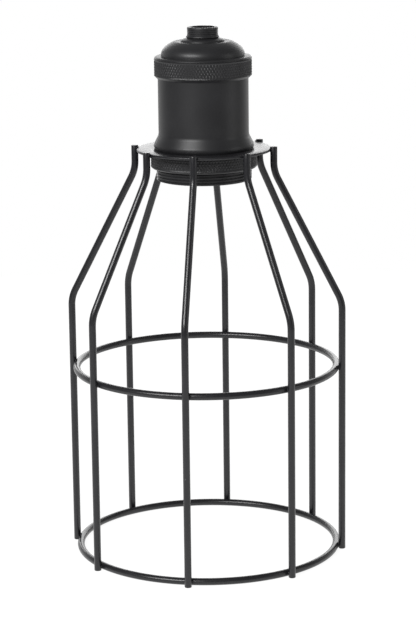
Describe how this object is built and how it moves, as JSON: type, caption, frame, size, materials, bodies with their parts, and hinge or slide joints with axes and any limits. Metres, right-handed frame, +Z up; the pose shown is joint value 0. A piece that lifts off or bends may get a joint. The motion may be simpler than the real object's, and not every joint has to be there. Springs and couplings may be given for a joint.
{
  "type": "bulb cage guard with lampholder",
  "caption": "Black wire cage that tapers up to a round plate, clamped by a ring nut on a screw-type lampholder; it guards a bare bulb hung mouth down.",
  "frame": {"origin": "on the cage's axis, in the plane of the lower ends of the upright wires", "axes": "+Z up along the cage's axis, from the open mouth to the cord inlet; -Y towards the viewer of the picture, +X to the viewer's right"},
  "size_m": [0.1186, 0.1186, 0.2257],
  "materials": {
    "wire_paint": "satin",
    "plate_paint": "satin",
    "holder_paint": "satin",
    "porcelain": "gloss",
    "spring_steel": "satin",
    "contact_brass": "satin",
    "screw_steel": "satin"
  },
  "bodies": {
    "root": {"upright_wire_1": "wire_paint", "upright_wire_2": "wire_paint", "upright_wire_3": "wire_paint", "upright_wire_4": "wire_paint", "upright_wire_5": "wire_paint", "upright_wire_6": "wire_paint", "upright_wire_7": "wire_paint", "upright_wire_8": "wire_paint", "bottom_ring": "wire_paint", "middle_ring": "wire_paint", "top_plate": "plate_paint", "shell": "holder_paint", "cap": "holder_paint", "shade_ring": "holder_paint", "porcelain_insert": "porcelain", "snap_ring": "spring_steel", "screw_sleeve": "contact_brass", "sleeve_rivets": "contact_brass", "centre_contact": "contact_brass", "neutral_terminal": "contact_brass", "live_terminal": "contact_brass", "contact_screws": "screw_steel", "terminal_screws": "screw_steel", "earth_screw": "screw_steel", "earth_washer": "contact_brass"}
  },
  "joints": []
}
